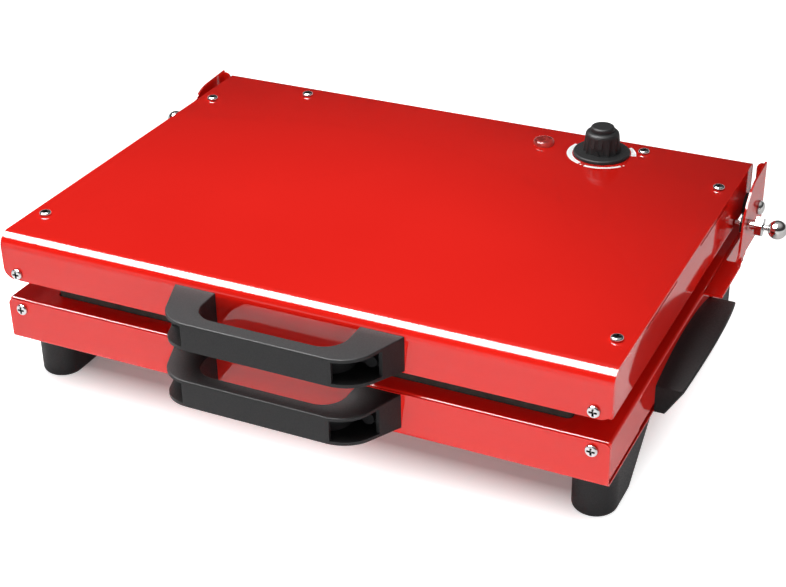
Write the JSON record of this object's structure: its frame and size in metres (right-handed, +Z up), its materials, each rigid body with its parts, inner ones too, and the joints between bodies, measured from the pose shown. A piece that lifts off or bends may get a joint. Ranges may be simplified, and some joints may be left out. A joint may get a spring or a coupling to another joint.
{
  "type": "electric flatbread maker",
  "caption": "Countertop press with two hinged red sheet-metal halves, flat stones between them, black handles, a temperature knob and a pilot lamp.",
  "frame": {"origin": "centre of the outline seen from above, on the surface that the feet stand on", "axes": "+X to the right across the front, +Y from the front handles to the hinge, +Z up"},
  "size_m": [0.5166, 0.363, 0.1418],
  "materials": {
    "red_paint": "high gloss powder coat",
    "stone": "dark fired stone, seasoned by use",
    "pan_steel": "plain zinc-coated sheet",
    "heater_steel": "dull heated sheath",
    "insulation": "pressed fibre board",
    "ceramic": "unglazed",
    "black_plastic": "fine matt grain",
    "bright_screws": "bright plated",
    "bright_steel": "bright plated",
    "black_steel": "black oxide",
    "gland_rubber": "matt rubber",
    "red_lens": "clear red lens"
  },
  "bodies": {
    "base": {"base_shell": "red_paint", "base_frame": "red_paint", "lower_stone": "stone", "lower_heat_pan": "pan_steel", "lower_stone_rails": "pan_steel", "lower_heater": "heater_steel", "lower_heater_saddles": "pan_steel", "lower_insulation": "insulation", "lower_terminal_block": "ceramic", "base_handle": "black_plastic", "base_handle_screws": "bright_screws", "side_grip_left": "black_plastic", "side_grip_right": "black_plastic", "side_grip_screws": "bright_screws", "foot_front_left": "black_plastic", "foot_front_right": "black_plastic", "foot_rear_left": "black_plastic", "foot_rear_right": "black_plastic", "foot_screws": "bright_screws", "base_face_screws": "bright_screws", "hinge_ear_left": "red_paint", "hinge_ear_right": "red_paint", "hinge_ear_screws": "bright_screws", "plunger_sleeves": "bright_steel", "plunger_nuts": "black_steel", "plunger_springs": "bright_steel", "cord_gland": "gland_rubber"},
    "lid": {"lid_cover": "red_paint", "lid_frame": "red_paint", "upper_stone": "stone", "upper_heat_pan": "pan_steel", "upper_stone_rails": "pan_steel", "upper_heater": "heater_steel", "upper_heater_saddles": "pan_steel", "upper_insulation": "insulation", "upper_terminal_block": "ceramic", "lid_handle": "black_plastic", "lid_handle_screws": "bright_screws", "lid_top_screws": "bright_screws", "lid_face_screws": "bright_screws", "hinge_blocks": "bright_steel", "hinge_spacers": "black_plastic", "pivot_bolts": "bright_steel", "thermostat": "black_plastic", "thermostat_nut": "bright_steel", "lamp_lens": "red_lens", "lamp_body": "black_plastic"},
    "knob": {"temperature_knob": "black_plastic", "thermostat_shaft": "bright_steel"},
    "plunger_left": {"plunger_pin_left": "bright_steel", "plunger_ball_left": "bright_steel"},
    "plunger_right": {"plunger_pin_right": "bright_steel", "plunger_ball_right": "bright_steel"}
  },
  "joints": [
    {"name": "lid_hinge", "type": "hinge", "parent": "base", "child": "lid", "pos_m": [0, 0.1635, 0.091], "axis": [-1, 0, 0], "range_deg": [0, 100]},
    {"name": "temperature_turn", "type": "hinge", "parent": "lid", "child": "knob", "pos_m": [0.1132, 0.148, 0.1196], "axis": [0, 0, -1], "range_deg": [0, 270]},
    {"name": "plunger_left_slide", "type": "slide", "parent": "base", "child": "plunger_left", "axis": [1, 0, 0], "range_m": [0, 0.003]},
    {"name": "plunger_right_slide", "type": "slide", "parent": "base", "child": "plunger_right", "axis": [-1, 0, 0], "range_m": [0, 0.003]}
  ]
}
